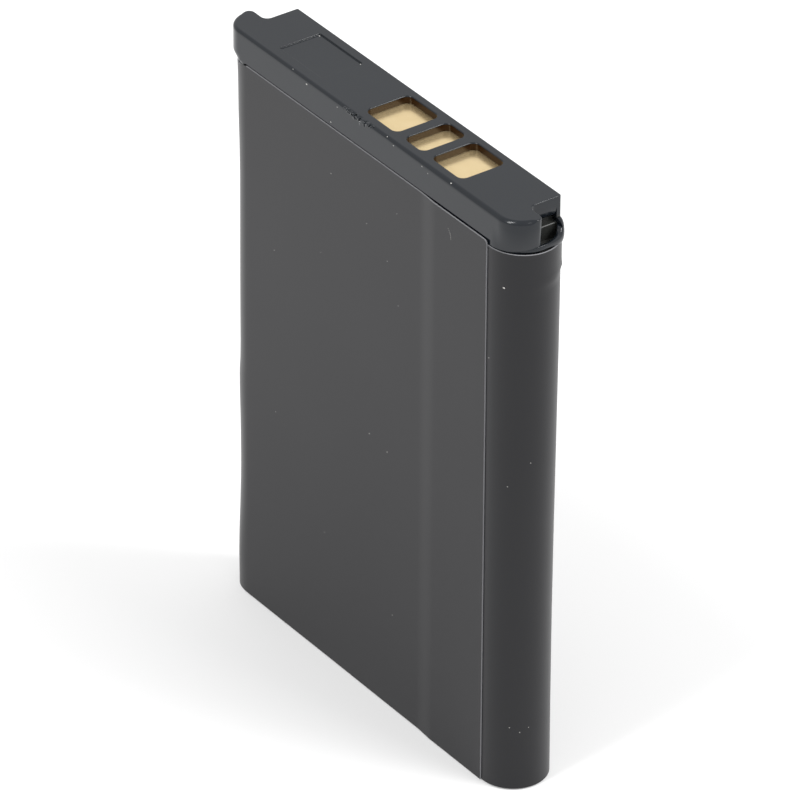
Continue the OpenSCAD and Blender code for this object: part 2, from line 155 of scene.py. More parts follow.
def skin(rings):
    """Closed surface through rings of equally many points, the first and last ring filled."""
    count = len(rings[0])
    points = [p for ring in rings for p in ring]
    faces = []
    for k in range(len(rings) - 1):
        for i in range(count):
            j = (i + 1) % count
            faces.append((k * count + i, k * count + j, (k + 1) * count + j, (k + 1) * count + i))
    faces.append(tuple(reversed(range(count))))
    faces.append(tuple((len(rings) - 1) * count + i for i in range(count)))
    return points, faces


def arc(cx, cy, radius, start_deg, end_deg, steps):
    """Points of an arc, each with the outward direction of the outline that runs along it."""
    inward = -1 if end_deg < start_deg else 1
    found = []
    for k in range(steps + 1):
        a = math.radians(start_deg + (end_deg - start_deg) * k / steps)
        found.append((cx + radius * math.cos(a), cy + radius * math.sin(a),
                      inward * math.cos(a), inward * math.sin(a)))
    return found


def round_bar(half_flat, middle_y, radius, steps=40, run=0.5):
    """Outline of a bar with full-round ends, walked anticlockwise from its front left."""
    right = arc(half_flat, middle_y, radius, -90, 90, steps)
    left = arc(-half_flat, middle_y, radius, 90, 270, steps)
    count = max(2, round(2 * half_flat / run))
    front = [(-half_flat + 2 * half_flat * k / count, middle_y - radius, 0, -1)
             for k in range(1, count)]
    back = [(-x, 2 * middle_y - y, 0, 1) for x, y, _, _ in front]
    return right + back + left + front


def combine(piece, tool, operation):
    """Cuts the tool out of the piece or joins it on, and removes the tool."""
    step = piece.modifiers.new(operation, "BOOLEAN")
    step.operation = operation
    step.solver = "MANIFOLD"
    step.object = tool
    bpy.context.view_layer.update()
    graph = bpy.context.evaluated_depsgraph_get()
    shape = bpy.data.meshes.new_from_object(piece.evaluated_get(graph))
    piece.modifiers.clear()
    piece.data = shape
    bpy.data.objects.remove(tool)


cover_low, cover_high = (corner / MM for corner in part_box("bottom_cover"))
can_low, can_high = (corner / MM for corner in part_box("battery_cell"))
can_radius = (can_high.y - can_low.y) / 2
can_middle = (can_high.y + can_low.y) / 2
can_flat = can_high.x - can_radius
RIM_ROUND = 0.12
PIN_MARK_X = 9.0
PIN_MARK_RADIUS = 0.9
PIN_MARK_DEPTH = 0.04

cover_outline = round_bar(can_flat, can_middle, can_radius)
RIM_STEPS = 4
PIN_CUTTER_FOOT = -0.5
cover_rings = []
for step in range(RIM_STEPS + 1):
    turn = math.radians(90 * step / RIM_STEPS)
    inset = RIM_ROUND * (1 - math.sin(turn))
    height = cover_low.z + RIM_ROUND * (1 - math.cos(turn))
    cover_rings.append([(x - nx * inset, y - ny * inset, height)
                        for x, y, nx, ny in cover_outline])
cover_rings.append([(x, y, cover_high.z) for x, y, _, _ in cover_outline])
black_abs = moulded_plastic("moulded_black_abs", "0c0d0f", "101113", 0.42, 0.12, 0.004)
bottom_cover = build("bottom_cover_moulding", *skin(cover_rings), [black_abs])
for side in (-1, 1):
    mark_rings = [[(side * PIN_MARK_X + PIN_MARK_RADIUS * math.cos(a), can_middle
                    + PIN_MARK_RADIUS * math.sin(a), z)
                   for a in np.linspace(0, 2 * math.pi, 40, endpoint=False)]
                  for z in (PIN_CUTTER_FOOT, PIN_MARK_DEPTH)]
    combine(bottom_cover, build("pin_mark", *skin(mark_rings)), "DIFFERENCE")
soften(bottom_cover)
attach(bottom_cover, "root")
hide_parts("bottom_cover")

# Tapes
# Double-sided tape: a thin tissue soaked in acrylic adhesive. One strip holds the
# bottom cover to the can, and two small pads hold the frame's ends to the can's lid.


def dress(node, finish):
    """Gives a construction piece its finish."""
    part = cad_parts[node]
    part.data.materials.clear()
    part.data.materials.append(finish)
    for face in part.data.polygons:
        face.material_index = 0


def fibrous(name, dark, light, roughness, fibre_mm, stretch):
    """Paper or tissue: long pale and dark fibres lying mostly along the sheet."""
    finish, tree, shader, place = start_finish(name, IOR=1.45, Roughness=roughness)
    along = add_node(tree, "ShaderNodeMapping", None,
                     {"Vector": place, "Scale": (1, stretch, stretch)})
    fibre = add_node(tree, "ShaderNodeTexNoise", None,
                     {"Vector": along.outputs["Vector"], "Scale": per_metre(fibre_mm),
                      "Detail": 4.0, "Roughness": 0.7})
    tone = add_node(tree, "ShaderNodeMix", {"data_type": "RGBA"},
                    {"Factor": fibre.outputs["Fac"], "A": linear(dark), "B": linear(light)})
    relief = add_node(tree, "ShaderNodeBump", None,
                      {"Height": fibre.outputs["Fac"], "Distance": 0.01 * MM})
    tree.links.new(tone.outputs["Result"], shader.inputs["Base Color"])
    tree.links.new(relief.outputs["Normal"], shader.inputs["Normal"])
    return finish


tissue_tape = fibrous("adhesive_tissue_tape", "c9c2ab", "e6e0cf", 0.55, 0.5, 6)
dress("bottom_tape", tissue_tape)
dress("end_tapes", tissue_tape)

# Cell
# The can is deep drawn from aluminium sheet, so faint lines run up its sides. Its lid
# is laser welded on, and the filling hole is closed with a pressed plug of the same metal.


def drawn_metal(name, dark, light, roughness, line_mm, stretch):
    """Drawn or rolled metal: fine lines along the working direction change colour and gloss."""
    finish, tree, shader, place = start_finish(name, Metallic=1.0)
    along = add_node(tree, "ShaderNodeMapping", None, {"Vector": place, "Scale": stretch})
    lines = add_node(tree, "ShaderNodeTexNoise", None,
                     {"Vector": along.outputs["Vector"], "Scale": per_metre(line_mm),
                      "Detail": 3.0})
    tone = add_node(tree, "ShaderNodeMix", {"data_type": "RGBA"},
                    {"Factor": lines.outputs["Fac"], "A": linear(dark), "B": linear(light)})
    gloss = add_node(tree, "ShaderNodeMapRange", None,
                     {"Value": lines.outputs["Fac"], "To Min": roughness - 0.08,
                      "To Max": roughness + 0.08})
    relief = add_node(tree, "ShaderNodeBump", None,
                      {"Height": lines.outputs["Fac"], "Strength": 0.4, "Distance": 0.004 * MM})
    tree.links.new(tone.outputs["Result"], shader.inputs["Base Color"])
    tree.links.new(gloss.outputs["Result"], shader.inputs["Roughness"])
    tree.links.new(relief.outputs["Normal"], shader.inputs["Normal"])
    return finish


drawn_aluminium = drawn_metal("drawn_aluminium", "b9bcc0", "d3d5d8", 0.34, 0.15, (1, 1, 0.05))
dress("battery_cell", drawn_aluminium)
dress("fill_plug", drawn_aluminium)

# Negative terminal
# A nickel-plated rivet through the lid, turned over on a gasket of uncoloured
# polypropylene that keeps it apart from the can, which is the positive pole.
natural_polypropylene = moulded_plastic("natural_polypropylene", "d8d3c4", "e6e2d6",
                                        0.45, 0.2, 0.003)
plated_nickel = drawn_metal("plated_nickel", "a9a69c", "c4c1b8", 0.3, 0.1, (1, 1, 1))
dress("terminal_gasket", natural_polypropylene)
dress("negative_terminal", plated_nickel)

# Lid insulator
# Varnished insulating paper, die cut round the terminal, the plug and the weld.
varnished_paper = fibrous("varnished_paper", "b59f6c", "d2bd8b", 0.5, 0.35, 3)
dress("lid_insulator", varnished_paper)

# Strips and thermal fuse
# Strips slit from rolled nickel and spot welded. The fuse between them is a bimetal
# switch in a moulded green block, which opens when the cell gets too hot.
rolled_nickel = drawn_metal("rolled_nickel", "b0ada4", "cfccc4", 0.28, 0.08, (0.06, 1, 1))
for strip in ("negative_tab", "fuse_tab", "positive_tab", "weld_pads"):
    dress(strip, rolled_nickel)
green_nylon = moulded_plastic("moulded_green_nylon", "244a30", "2f5d3a", 0.4, 0.15, 0.004)
dress("thermal_fuse", green_nylon)

# Board bracket
# Black ABS, moulded. It stands on the lid and carries both ends of the board.
dress("board_support", black_abs)

# Circuit board
# Glass-fibre laminate under green solder mask: the weave shows faintly through it, and is
# drawn about six times as coarse as its threads lie, so that it shows.
LAMINATE_THREAD_MM = 0.45
WAVE_RADIANS = 20
laminate, tree, shader, place = start_finish("green_masked_laminate", IOR=1.5, Roughness=0.3)
warp = add_node(tree, "ShaderNodeTexWave", {"bands_direction": "X"},
                {"Vector": place, "Scale": per_metre(LAMINATE_THREAD_MM) / WAVE_RADIANS,
                 "Distortion": 0.5})
weft = add_node(tree, "ShaderNodeTexWave", {"bands_direction": "Y"},
                {"Vector": place, "Scale": per_metre(LAMINATE_THREAD_MM) / WAVE_RADIANS,
                 "Distortion": 0.5})
weave = add_node(tree, "ShaderNodeMath", {"operation": "MULTIPLY"},
                 {0: warp.outputs["Fac"], 1: weft.outputs["Fac"]})
tone = add_node(tree, "ShaderNodeMix", {"data_type": "RGBA"},
                {"Factor": weave.outputs["Value"], "A": linear("1b5c3b"), "B": linear("26724b")})
relief = add_node(tree, "ShaderNodeBump", None,
                  {"Height": weave.outputs["Value"], "Strength": 0.5, "Distance": 0.004 * MM})
tree.links.new(tone.outputs["Result"], shader.inputs["Base Color"])
tree.links.new(relief.outputs["Normal"], shader.inputs["Normal"])
dress("circuit_board", laminate)

# Chips on the board
# Black epoxy mouldings with a fine matt grain, thick-film resistors, and capacitors
# of fired ceramic. All hang under the board, soldered to its lower side.
black_epoxy = moulded_plastic("moulded_black_epoxy", "17181a", "232427", 0.5, 0.06, 0.004)
for chip in ("protection_chip", "switch_chip", "identity_resistor", "chip_resistors"):
    dress(chip, black_epoxy)
fired_ceramic = moulded_plastic("fired_ceramic", "93704a", "b08a5a", 0.45, 0.08, 0.003)
dress("filter_capacitors", fired_ceramic)

# Gold contacts
# Copper pads of the board plated with hard gold over nickel. The plating follows the
# rolled copper, so the pads mirror the window walls, a little blurred.
gold, tree, shader, place = start_finish("hard_gold_plating", Metallic=0.8)
rolled = add_node(tree, "ShaderNodeMapping", None, {"Vector": place, "Scale": (1, 0.15, 1)})
grain = add_node(tree, "ShaderNodeTexNoise", None,
                 {"Vector": rolled.outputs["Vector"], "Scale": per_metre(0.12), "Detail": 3.0})
cloud = add_node(tree, "ShaderNodeTexNoise", None,
                 {"Vector": place, "Scale": per_metre(1.5), "Detail": 2.0})
tone = add_node(tree, "ShaderNodeMix", {"data_type": "RGBA"},
                {"Factor": cloud.outputs["Fac"], "A": linear("dfc695"), "B": linear("e8d2a5")})
gloss = add_node(tree, "ShaderNodeMapRange", None,
                 {"Value": grain.outputs["Fac"], "To Min": 0.18, "To Max": 0.27})
relief = add_node(tree, "ShaderNodeBump", None,
                  {"Height": grain.outputs["Fac"], "Strength": 0.3, "Distance": 0.002 * MM})
tree.links.new(tone.outputs["Result"], shader.inputs["Base Color"])
tree.links.new(gloss.outputs["Result"], shader.inputs["Roughness"])
tree.links.new(relief.outputs["Normal"], shader.inputs["Normal"])
for contact in ("contact_positive", "contact_identity", "contact_negative"):
    dress(contact, gold)

# Top frame
# One moulding in black ABS: satin outside, with a painted blue cast that stands in for bluish sky
# light;
# unpolished in the pockets at its ends, where a lighter tone is painted light in the shaded
# pockets; polished in its windows, whose walls carry a painted brown reflection of the gold
# contacts. Its front edge is well rounded, the other edges barely, and the gate was snapped off
# that front edge, which left a rough scar.
frame_low, frame_high = (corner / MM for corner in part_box("top_frame"))
SHEET_RISE_BACK = 2.35
SHEET_RISE_FRONT = 2.72
SHEET_GAP = 0.15
PANEL_TAIL_DEG = 30
HEAD_PROUD = 0.1
HEAD_PROUD_BACK = 0.12
LOBE_OVERHANG = 0.4
NOTCH_DEPTH = 1.75
NOTCH_FRONT = -0.1
CORNER_RADIUS = 1.9
LOBE_TIP_RADIUS = 0.45
NOTCH_RADIUS = 0.5
BACK_RADIUS = 0.15
FRONT_EDGE = 0.24
FRONT_EDGE_RIGHT = 0.34
FRONT_EDGE_FULL_X = 13
FINE_EDGE = 0.08
FINE_EDGE_FROM, FINE_EDGE_TO = 1.0, 0.45
EDGE_MARGIN = 0.05
LOBE_SEAT = 0.12
LOBE_SEAT_LEFT = 0.22
LOBE_SEAT_STEP = 0.15
LOBE_TUCK_FROM, LOBE_TUCK_TO = 0.05, 0.75
LOBE_TAPER_HEIGHT = 1.9
LOBE_TAPER_POWER = 1.5
LOBES_BACK = 1
FOOT_CHAMFER = 0.03

lid = can_high.z
sheet_top_back = lid + SHEET_RISE_BACK
sheet_top_front = lid + SHEET_RISE_FRONT
head_top = frame_high.z
head_bottom = sheet_top_back + SHEET_GAP
head_front = can_low.y - HEAD_PROUD
head_back = can_high.y + HEAD_PROUD_BACK
lobe_end = can_high.x + LOBE_OVERHANG
notch_x = lobe_end - NOTCH_DEPTH


def straight(x0, y0, x1, y1, nx, ny, spacing):
    """Points between two ends of a straight stretch, both ends left out."""
    count = max(1, round(math.hypot(x1 - x0, y1 - y0) / spacing))
    return [(x0 + (x1 - x0) * k / count, y0 + (y1 - y0) * k / count, nx, ny)
            for k in range(1, count)]


def head_outline():
    """Plan of the head: lobes in front, narrower behind, walked anticlockwise."""
    corner_x, corner_y = lobe_end - CORNER_RADIUS, head_front + CORNER_RADIUS
    tip_x, tip_y = lobe_end - LOBE_TIP_RADIUS, NOTCH_FRONT - LOBE_TIP_RADIUS
    step_x, step_y = notch_x + NOTCH_RADIUS, NOTCH_FRONT + NOTCH_RADIUS
    back_x, back_y = notch_x - BACK_RADIUS, head_back - BACK_RADIUS
    right = straight(0, head_front, corner_x, head_front, 0, -1, 0.12)
    right += arc(corner_x, corner_y, CORNER_RADIUS, -90, 0, 30)
    right += straight(lobe_end, corner_y, lobe_end, tip_y, 1, 0, 0.1)
    right += arc(tip_x, tip_y, LOBE_TIP_RADIUS, 0, 90, 8)
    right += straight(tip_x, NOTCH_FRONT, step_x, NOTCH_FRONT, 0, 1, 0.15)
    right += arc(step_x, step_y, NOTCH_RADIUS, 270, 180, 12)
    right += straight(notch_x, step_y, notch_x, back_y, 1, 0, 0.3)
    right += arc(back_x, back_y, BACK_RADIUS, 0, 90, 8)
    right += straight(back_x, head_back, 0, head_back, 0, 1, 0.5)
    left = [(-x, y, -nx, ny) for x, y, nx, ny in reversed(right)]
    return [(0, head_front, 0, -1)] + right + [(0, head_back, 0, 1)] + left


def ease(value, low, high):
    """0 below low, 1 above high, smooth between."""
    t = min(1, max(0, (value - low) / (high - low)))
    return t * t * (3 - 2 * t)


def mix(low, high, share):
    """Value at a share of the way from low to high."""
    return low + (high - low) * share


def head_ring(turn_deg):
    """Ring of the head's rounded top edge, from the flat top (0) to the wall (90)."""
    turn = math.radians(turn_deg)
    ring = []
    for x, y, nx, ny in outline:
        front = mix(FRONT_EDGE, FRONT_EDGE_RIGHT, ease(x, 0, FRONT_EDGE_FULL_X))
        edge = mix(front, FINE_EDGE,
                   ease(y, NOTCH_FRONT - FINE_EDGE_FROM, NOTCH_FRONT - FINE_EDGE_TO))
        inset = edge * (1 - math.sin(turn))
        drop = edge * (1 - math.cos(turn))
        ring.append((x - nx * inset, y - ny * inset, head_top - drop))
    return ring


def panel_tail(x, y):
    """How much of the front panel's extra height is left round the left end, 1 to 0."""
    if y > can_middle or x > -can_flat:
        return 0 if y > can_middle else 1
    past = math.degrees(math.atan2(-can_flat - x, can_middle - y))
    return max(0, 1 - past / PANEL_TAIL_DEG)


def head_foot(height):
    """Ring under the head: the lobes taper down to the sheet, the rest has a fine chamfer."""
    ring = []
    for x, y, nx, ny in outline:
        out_x, out_y = max(abs(x) - can_flat, 0), y - can_middle
        reach = math.hypot(out_x, out_y)
        if x > 0:
            seat = LOBE_SEAT
            taper = max(0, 1 - height / LOBE_TAPER_HEIGHT) ** LOBE_TAPER_POWER
        else:
            level = height - (sheet_top_front - sheet_top_back) * panel_tail(x, y)
            seat = mix(LOBE_SEAT, LOBE_SEAT_LEFT, ease(level, 0, LOBE_SEAT_STEP))
            taper = 1 - ease(level, LOBE_TUCK_FROM, LOBE_TUCK_TO)
        spare = max(0, reach - can_radius - seat) if y < can_middle + LOBES_BACK else 0
        pull = spare * taper / reach
        chamfer = 0 if spare else max(0, FOOT_CHAMFER - height)
        ring.append((x - math.copysign(out_x, x) * pull - nx * chamfer,
                     y - out_y * pull - ny * chamfer, head_bottom + height))
    return ring


outline = head_outline()
tuck_levels = [0.1 + 0.08 * k for k in range(11)]
taper_levels = [1.1 + 0.2 * k for k in range(5)]
head_rings = [head_foot(h) for h in [0, FOOT_CHAMFER] + tuck_levels + taper_levels]
head_rings.append([(x, y, head_top - FRONT_EDGE_RIGHT - EDGE_MARGIN) for x, y, _, _ in outline])
head_rings += [head_ring(turn_deg) for turn_deg in range(90, -1, -10)]
# Its blue cast is painted light: it stands in for bluish sky light falling on the dark plastic.
satin_abs_painted_sky_tint = moulded_plastic("satin_black_abs_painted_sky_tint", "11151a", "161a1f", 0.18, 0.1, 0.001)
top_frame = build("top_frame_moulding", *skin(head_rings), [satin_abs_painted_sky_tint])

SCAR_FROM, SCAR_TO = -2.6, 0.9
SCAR_LUMPS = 30
SCAR_PROUD = 0.06
SCAR_BELOW_TOP = 0.002


def crumb(x, y, z, size, seed):
    """Rough little lump, longer along the edge and level with the head's top at most."""
    shape = bmesh.new()
    bmesh.ops.create_icosphere(shape, subdivisions=2, radius=1)
    points = []
    for vertex in shape.verts:
        swell = 1 + 0.7 * noise.noise(vertex.co * 1.3 + Vector((seed * 3.1, 0, 0)))
        points.append((x + vertex.co.x * swell * size * 1.3,
                       max(y + vertex.co.y * swell * size, head_front - SCAR_PROUD),
                       min(z + vertex.co.z * swell * size,
                           head_top - SCAR_BELOW_TOP * (1 + abs(vertex.co.x) / 2))))
    faces = [tuple(vertex.index for vertex in face.verts) for face in shape.faces]
    shape.free()
    return points, faces


random.seed(7)
for k in range(SCAR_LUMPS):
    along = k / (SCAR_LUMPS - 1)
    x = SCAR_FROM + (SCAR_TO - SCAR_FROM) * along + random.uniform(-0.08, 0.08)
    size = (0.08 + 0.12 * math.sin(math.pi * along)) * random.uniform(0.6, 1.3)
    lump = crumb(x, head_front + random.uniform(0.02, 0.16),
                 head_top - random.uniform(0.05, 0.32), size, k)
    combine(top_frame, build("gate_scar", *lump), "DIFFERENCE" if k % 4 == 1 else "UNION")

SKIRT_JOIN = 0.02
skirt_rings = [[(x, y, z) for x, y, _, _ in cover_outline]
               for z in (frame_low.z, head_bottom + SKIRT_JOIN)]
combine(top_frame, build("skirt", *skin(skirt_rings)), "UNION")

LOOP_FROM_DEG, LOOP_OUT_DEG, LOOP_TO_DEG = -55, -5, 90
LOOP_STEPS = 58
LOOP_SWELL_DEG = (5, 50)
LOOP_RISE_DEG = (36, 62)
LOOP_FOOT_END_DEG = (56, 66)
LOOP_PROUD = 0.5
LOOP_PROUD_FRONT = 0.26
LOOP_SINK = 0.05
LOOP_DIVE = 0.3
LOOP_EDGE = 0.2
LOOP_FOOT_EDGE = 0.28
LOOP_DROP = 1.65
LOOP_DIP = 0.62
LOOP_FOOT = 0.42
LOOP_FOOT_FRONT = 0.018
LOOP_CLEARANCE = 0.002
LOOP_OVERLAP = 0.01
LOOP_RIM = ((0.06, 0), (0.015, -0.02), (-0.01, -0.07))
POCKET_FLOOR_DROP = 3.07
LEDGE_DROP = 1.97
SLOT_HEIGHT = 0.45
SLOT_DEPTH = 0.5
LIP_DEPTH = 0.3
LIP_HEIGHT = 0.85
LEDGE_EDGE = 0.045
loop_inner = can_radius
ledge = head_top - LEDGE_DROP
pocket_floor = head_top - POCKET_FLOOR_DROP


def loop_section(angle_deg):
    """Section of a loop as radius and height: low and slim at the lobe, full height at the back."""
    swell = ease(angle_deg, *LOOP_SWELL_DEG)
    sunk = 1 - ease(angle_deg, LOOP_FROM_DEG, LOOP_OUT_DEG)
    outer = can_radius + mix(LOOP_PROUD_FRONT, LOOP_PROUD, swell)
    outer -= (LOOP_PROUD_FRONT - LOBE_SEAT + LOOP_SINK) * sunk
    top = head_top - LOOP_DROP - LOOP_DIP * (1 - ease(angle_deg, *LOOP_RISE_DEG)) - LOOP_DIVE * sunk
    hang = (LOOP_FOOT_FRONT + LOOP_FOOT * swell) * (1 - ease(angle_deg, *LOOP_FOOT_END_DEG))
    foot = head_bottom - LOOP_CLEARANCE - hang
    section = []
    for a in range(-90, 91, 9):
        edge = can_radius + (LOOP_EDGE if a > 0 else mix(LOOP_EDGE, LOOP_FOOT_EDGE, swell))
        edge = min(edge, outer - LOOP_SINK)
        section.append((edge + (outer - edge) * math.cos(math.radians(a)),
                        (top + foot) / 2 + (top - foot) / 2 * math.sin(math.radians(a))))
    foot_edge = section[0][0] - FOOT_CHAMFER
    section += [(loop_inner + out, top + up) for out, up in LOOP_RIM]
    return section + [(loop_inner - LOOP_OVERLAP, head_bottom), (foot_edge, head_bottom),
                      (foot_edge, foot)]


def mirrored(points, side):
    """The points as they are, or on the pack's other side."""
    return [(side * x, y, z) for x, y, z in points]


def turned(faces, side):
    """Faces wound for the side that they are on."""
    return faces if side > 0 else [tuple(reversed(face)) for face in faces]


for side in (1, -1):
    loop_rings = []
    for k in range(LOOP_STEPS + 1):
        angle_deg = LOOP_FROM_DEG + (LOOP_TO_DEG - LOOP_FROM_DEG) * k / LOOP_STEPS
        a = math.radians(angle_deg)
        loop_rings.append([(can_flat + r * math.cos(a),
                            min(can_middle + r * math.sin(a), head_back - LOOP_OVERLAP), z)
                           for r, z in reversed(loop_section(angle_deg))])
    points, faces = skin(loop_rings)
    loop = build("loop", mirrored(points, side), turned(faces, side))
    combine(top_frame, loop, "UNION")


def block(low, high):
    """Six-sided cutter between two corners."""
    (x0, y0, z0), (x1, y1, z1) = low, high
    return skin([[(x0, y0, z), (x1, y0, z), (x1, y1, z), (x0, y1, z)] for z in (z0, z1)])


CUT_PAST = 1
pocket_reach = math.sqrt(loop_inner ** 2 - (notch_x - can_flat) ** 2)
for side in (1, -1):
    floor_arc = [(can_flat + loop_inner * math.cos(a), can_middle + loop_inner * math.sin(a))
                 for a in np.linspace(-math.asin((can_middle - NOTCH_FRONT) / loop_inner),
                                      math.asin(pocket_reach / loop_inner), 30)]
    pocket_plan = [(notch_x, NOTCH_FRONT)] + floor_arc
    pocket = skin([[(x, y, z) for x, y in pocket_plan]
                   for z in (pocket_floor, head_bottom + 2 * CUT_PAST)])
    cutter = build("pocket", mirrored(pocket[0], side), turned(pocket[1], side))
    combine(top_frame, cutter, "DIFFERENCE")
    slot_section = [(-SLOT_DEPTH, 0), (-LEDGE_EDGE, 0), (0, -LEDGE_EDGE),
                    (CUT_PAST, -LEDGE_EDGE), (CUT_PAST, SLOT_HEIGHT + LIP_HEIGHT)]
    slot_section += [(LIP_DEPTH * (math.cos(a) - 1), SLOT_HEIGHT + LIP_HEIGHT * (1 + math.sin(a)))
                     for a in np.linspace(0, -math.pi / 2, 14)]
    slot_section.append((-SLOT_DEPTH, SLOT_HEIGHT))
    slot = skin([[(notch_x + x, y, ledge + z) for x, z in reversed(slot_section)]
                 for y in (NOTCH_FRONT + NOTCH_RADIUS, can_middle + pocket_reach)])
    cutter = build("slot", mirrored(slot[0], side), turned(slot[1], side))
    combine(top_frame, cutter, "DIFFERENCE")

RELIEF_MARGIN = 0.13
RELIEF_MARGIN_LEFT = 0.03
TAIL_CLEARANCE = 0.005
TAIL_STEP_DEG = 3
relief_box = block((-can_flat - RELIEF_MARGIN_LEFT, head_front - CUT_PAST, frame_low.z - CUT_PAST),
                   (can_flat + RELIEF_MARGIN, can_low.y, sheet_top_front + SHEET_GAP))
combine(top_frame, build("panel_relief", *relief_box), "DIFFERENCE")

tail_rings = []
for turn_deg in range(0, PANEL_TAIL_DEG + 1, TAIL_STEP_DEG):
    sine, cosine = math.sin(math.radians(turn_deg)), math.cos(math.radians(turn_deg))
    top = mix(sheet_top_back, sheet_top_front, 1 - turn_deg / PANEL_TAIL_DEG) + SHEET_GAP
    near, far = can_radius + TAIL_CLEARANCE, can_radius + CUT_PAST
    tail_rings.append([(-can_flat - r * sine, can_middle - r * cosine, z)
                       for r, z in ((near, lid), (near, top), (far, top), (far, lid))])
combine(top_frame, build("panel_tail_relief", *skin(tail_rings)), "DIFFERENCE")

board_low, board_high = (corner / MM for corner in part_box("circuit_board"))
contact_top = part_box("contact_positive")[1].z / MM
BOARD_CLEARANCE = 0.05
board_space = block((board_low.x - BOARD_CLEARANCE, board_low.y - BOARD_CLEARANCE,
                     frame_low.z - CUT_PAST),
                    (board_high.x + BOARD_CLEARANCE, board_high.y + BOARD_CLEARANCE, contact_top))
combine(top_frame, build("board_space", *board_space), "DIFFERENCE")

CONTACT_MARGIN = 0.12
WINDOW_DEPTH = 3.84
WINDOW_SHIFT = 0.06
WINDOW_RADIUS = 0.5
WINDOW_EDGE = 0.09
WINDOW_GAP = 0.05
WINDOW_FOOT = ((WINDOW_GAP, -0.3), (WINDOW_GAP, WINDOW_GAP), (0, 0.07))
RECESS_X = -9.0
RECESS_WIDTH = 5.15
RECESS_DEPTH = 3.5
RECESS_SINK = 0.11
RECESS_RADIUS = 0.12
RECESS_EDGE = 0.06
RECESS_FOOT = ((-0.03, 0), (-0.01, 0.01), (0, 0.03))
OPENING_STEPS = 12
FLARE = 0.3
window_y = (board_low.y + board_high.y) / 2 + WINDOW_SHIFT


def opening_cutter(x0, x1, y0, y1, radius, edge, foot_levels):
    """Cutter for an opening in the roof, flared at the top so that the edge comes out rounded."""
    x0, x1, y0, y1 = x0 + edge, x1 - edge, y0 + edge, y1 - edge
    plan = arc(x1 - radius, y1 - radius, radius, 0, 90, OPENING_STEPS)
    plan += arc(x0 + radius, y1 - radius, radius, 90, 180, OPENING_STEPS)
    plan += arc(x0 + radius, y0 + radius, radius, 180, 270, OPENING_STEPS)
    plan += arc(x1 - radius, y0 + radius, radius, 270, 360, OPENING_STEPS)
    levels = list(foot_levels)
    for turn_deg in range(0, 76, 15):
        turn = math.radians(turn_deg)
        levels.append((edge * (1 - math.cos(turn)), head_top - edge * (1 - math.sin(turn))))
    flare, height = levels[-1]
    levels.append((flare + FLARE * math.sin(turn), height + FLARE * math.cos(turn)))
    return skin([[(x + nx * out, y + ny * out, z) for x, y, nx, ny in plan] for out, z in levels])


for contact in ("contact_positive", "contact_identity", "contact_negative"):
    low, high = (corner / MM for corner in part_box(contact))
    cutter = opening_cutter(low.x + CONTACT_MARGIN, high.x - CONTACT_MARGIN,
                            window_y - WINDOW_DEPTH / 2, window_y + WINDOW_DEPTH / 2,
                            WINDOW_RADIUS, WINDOW_EDGE,
                            [(out, contact_top + up) for out, up in WINDOW_FOOT])
    combine(top_frame, build("window", *cutter), "DIFFERENCE")
cutter = opening_cutter(RECESS_X - RECESS_WIDTH / 2, RECESS_X + RECESS_WIDTH / 2,
                        window_y - RECESS_DEPTH / 2, window_y + RECESS_DEPTH / 2,
                        RECESS_RADIUS, RECESS_EDGE,
                        [(out, head_top - RECESS_SINK + up) for out, up in RECESS_FOOT])
combine(top_frame, build("recess", *cutter), "DIFFERENCE")

TOUCH = 0.01
WINDOW_WALL_FOOT = 0.35
WINDOW_WALL_MARGIN = 0.1
SATIN_PAINTED_SKY_TINT, UNPOLISHED_PAINTED_LIGHT, POLISHED_PAINTED_REFLECTION = 0, 1, 2
# The pockets' lighter tone is painted light that stands in for light in the shaded pockets; their
# higher roughness is the unpolished finish.
unpolished_abs_painted_light = moulded_plastic("unpolished_black_abs_painted_light", "2a2b2a", "323331", 0.35, 0.05, 0.002)
# The window walls' brown is a painted reflection of the gold contacts on the black ABS; their low
# roughness is the polish.
polished_abs_painted_gold_reflection = moulded_plastic("polished_window_abs_painted_gold_reflection", "241407", "2e1c0a", 0.16, 0.05, 0.0005,
                               shine=0.13)
top_frame.data.materials.clear()
for finish in (satin_abs_painted_sky_tint, unpolished_abs_painted_light, polished_abs_painted_gold_reflection):
    top_frame.data.materials.append(finish)
window_low_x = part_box("contact_positive")[0].x / MM
for face in top_frame.data.polygons:
    x, y, z = face.center / MM
    across = math.hypot(abs(x) - can_flat, y - can_middle)
    in_end = (abs(x) > notch_x - SLOT_DEPTH - TOUCH
              and NOTCH_FRONT - TOUCH < y < head_back - 5 * TOUCH)
    in_cavity = across < loop_inner + TOUCH or abs(x) < notch_x + TOUCH / 10
    low_enough = pocket_floor - TOUCH < z < ledge + SLOT_HEIGHT + TOUCH
    in_window_painted_reflection = (contact_top - WINDOW_WALL_FOOT < z < head_top - WINDOW_EDGE
                 and window_low_x < x < board_high.x
                 and abs(y - window_y) < WINDOW_DEPTH / 2 + WINDOW_WALL_MARGIN)
    in_pocket_painted_light = in_end and in_cavity and low_enough
    face.material_index = UNPOLISHED_PAINTED_LIGHT if in_pocket_painted_light else POLISHED_PAINTED_REFLECTION if in_window_painted_reflection else SATIN_PAINTED_SKY_TINT
soften(top_frame)
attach(top_frame, "root")
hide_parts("top_frame")

